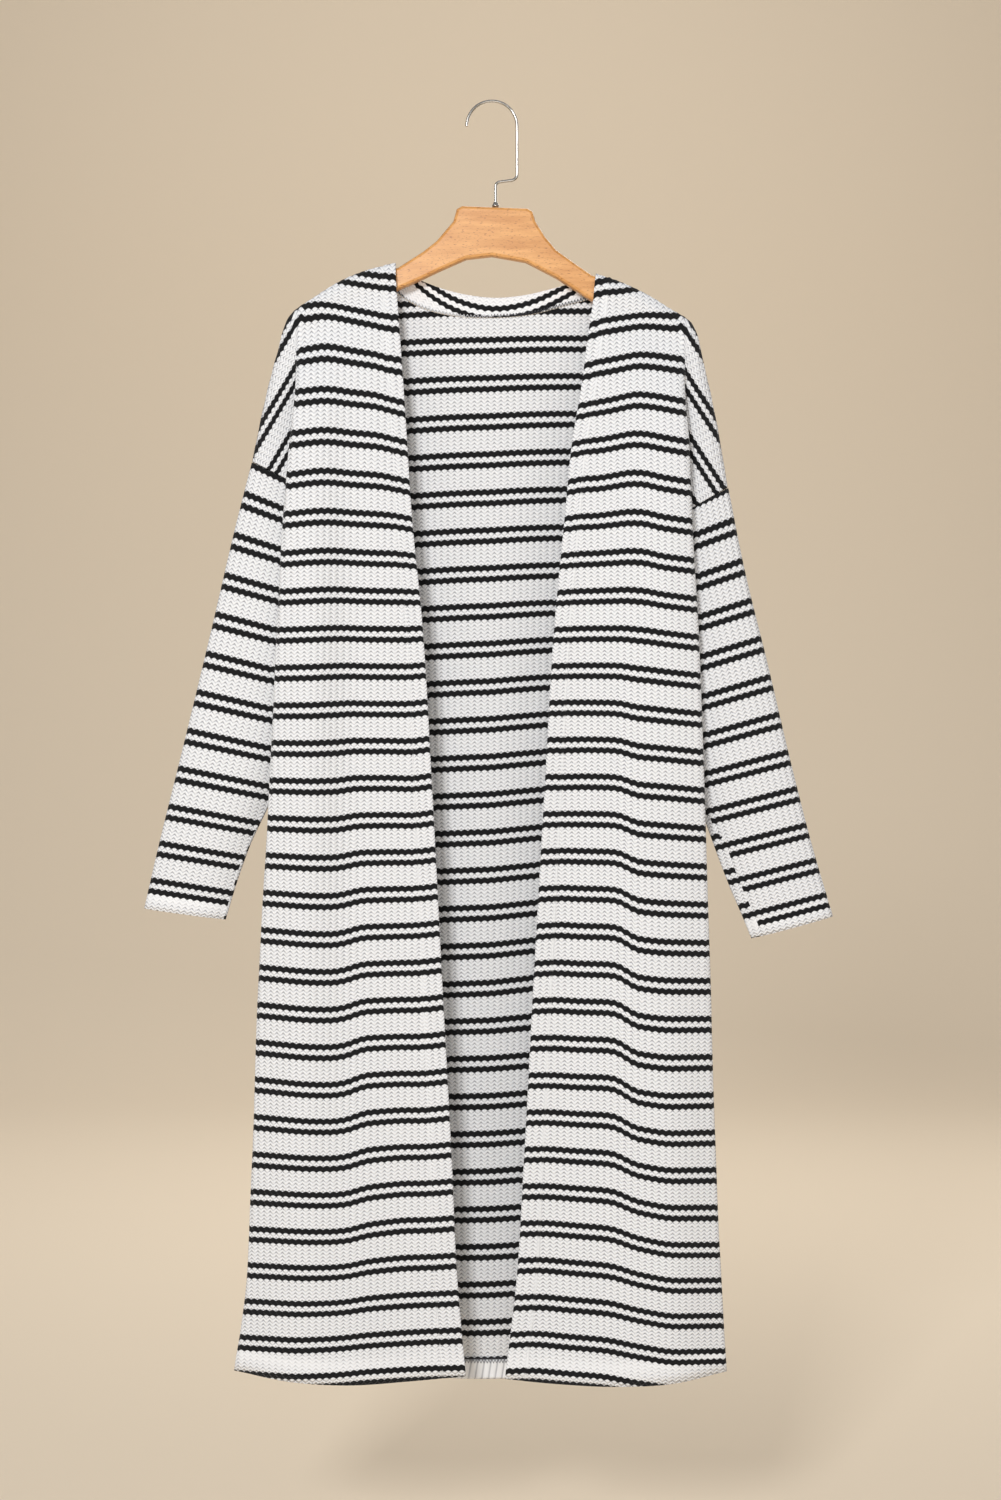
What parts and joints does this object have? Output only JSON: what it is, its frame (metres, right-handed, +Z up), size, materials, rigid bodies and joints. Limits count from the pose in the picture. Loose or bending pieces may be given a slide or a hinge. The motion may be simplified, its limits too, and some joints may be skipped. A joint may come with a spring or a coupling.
{
  "type": "duster cardigan on a wooden hanger",
  "caption": "Long open-front cardigan in fine striped rib knit with drop shoulders and long tapered sleeves, hung flat on a plain wooden hanger with a bent wire hook.",
  "frame": {"origin": "inside top of the wire hook, where the hanger rests on a rail", "axes": "+Z up, the garment's long way; +X to the viewer's right; the open front faces -Y"},
  "size_m": [0.6964, 0.0769, 1.3019],
  "materials": {
    "rib_knit_white": "soft matt rib knit in white with thin black stripes in pairs",
    "beech": "clear satin lacquer",
    "polished_steel": "polished"
  },
  "bodies": {
    "root": {"front_left": "rib_knit_white", "front_right": "rib_knit_white", "back": "rib_knit_white", "sleeve_left": "rib_knit_white", "sleeve_right": "rib_knit_white", "back_neckband": "rib_knit_white", "hanger_wood": "beech", "hanger_hook": "polished_steel", "hanger_ferrule": "polished_steel"}
  },
  "joints": []
}
